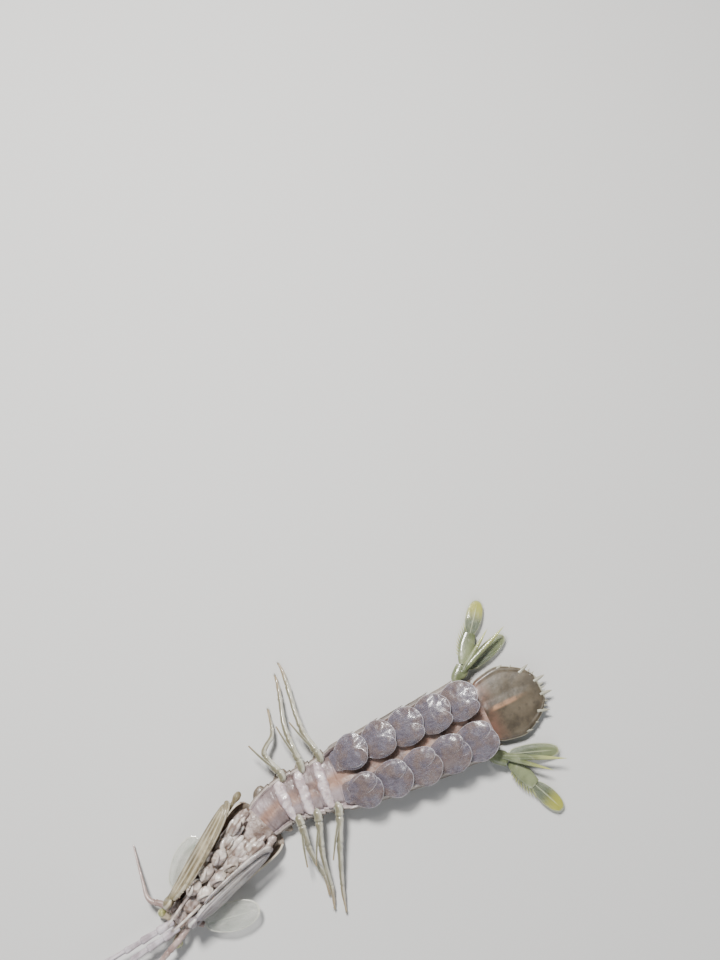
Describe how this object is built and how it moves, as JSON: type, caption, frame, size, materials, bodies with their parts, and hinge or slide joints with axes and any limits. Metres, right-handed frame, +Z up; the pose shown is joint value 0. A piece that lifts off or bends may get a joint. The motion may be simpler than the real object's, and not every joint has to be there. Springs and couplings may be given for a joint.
{
  "type": "mantis shrimp",
  "caption": "Life-size still model of a spearing mantis shrimp lying on its back, belly up, great claws folded over the head, walking legs fallen to the sides, tail fan spread.",
  "frame": {"origin": "centre of the whole animal's box in plan, at the floor it lies on", "axes": "+Y along the whole animal's longest side, roughly from the feelers to the tail fan; +Z up, the way the belly faces; +X roughly towards the animal's right side"},
  "size_m": [0.1124, 0.2268, 0.02],
  "materials": {
    "back_shell": "wet thin shell, grey brown",
    "tail_plate": "wet thin shell, grey brown with a pale orange ridge",
    "head_skin": "soft pale skin",
    "eye_surface": "glossy greenish gold",
    "feeler_skin": "thin pale shell",
    "scale_blade": "thin clear blade",
    "mouth_limb": "creamy white shell",
    "claw_shell": "smooth whitish shell",
    "leg_skin": "thin pale shell",
    "swimmeret_skin": "wet lilac grey skin",
    "fan_shell": "thin olive yellow shell"
  },
  "bodies": {
    "root": {"rostral_plate": "back_shell", "carapace": "back_shell", "thorax_5": "back_shell", "thorax_6": "back_shell", "thorax_7": "back_shell", "thorax_8": "back_shell", "abdomen_1": "back_shell", "abdomen_2": "back_shell", "abdomen_3": "back_shell", "abdomen_4": "back_shell", "abdomen_5": "back_shell", "abdomen_6": "back_shell", "telson": "tail_plate", "head": "head_skin", "eye_right": "eye_surface", "eye_left": "eye_surface", "antennule_right": "feeler_skin", "antennule_left": "feeler_skin", "antenna_right": "feeler_skin", "antenna_left": "feeler_skin", "antennal_scale_right": "scale_blade", "antennal_scale_left": "scale_blade", "maxilliped_1_right": "mouth_limb", "maxilliped_1_left": "mouth_limb", "maxilliped_3_right": "mouth_limb", "maxilliped_3_left": "mouth_limb", "maxilliped_4_right": "mouth_limb", "maxilliped_4_left": "mouth_limb", "maxilliped_5_right": "mouth_limb", "maxilliped_5_left": "mouth_limb", "claw_arm_right": "claw_shell", "claw_arm_left": "claw_shell", "claw_palm_right": "claw_shell", "claw_palm_left": "claw_shell", "claw_finger_right": "claw_shell", "claw_finger_left": "claw_shell", "leg_1_right": "leg_skin", "leg_1_left": "leg_skin", "leg_2_right": "leg_skin", "leg_2_left": "leg_skin", "leg_3_right": "leg_skin", "leg_3_left": "leg_skin", "swimmeret_1_right": "swimmeret_skin", "swimmeret_1_left": "swimmeret_skin", "swimmeret_2_right": "swimmeret_skin", "swimmeret_2_left": "swimmeret_skin", "swimmeret_3_right": "swimmeret_skin", "swimmeret_3_left": "swimmeret_skin", "swimmeret_4_right": "swimmeret_skin", "swimmeret_4_left": "swimmeret_skin", "swimmeret_5_right": "swimmeret_skin", "swimmeret_5_left": "swimmeret_skin", "uropod_base_right": "fan_shell", "uropod_base_left": "fan_shell", "uropod_outer_right": "fan_shell", "uropod_outer_left": "fan_shell", "uropod_inner_right": "fan_shell", "uropod_inner_left": "fan_shell"}
  },
  "joints": []
}
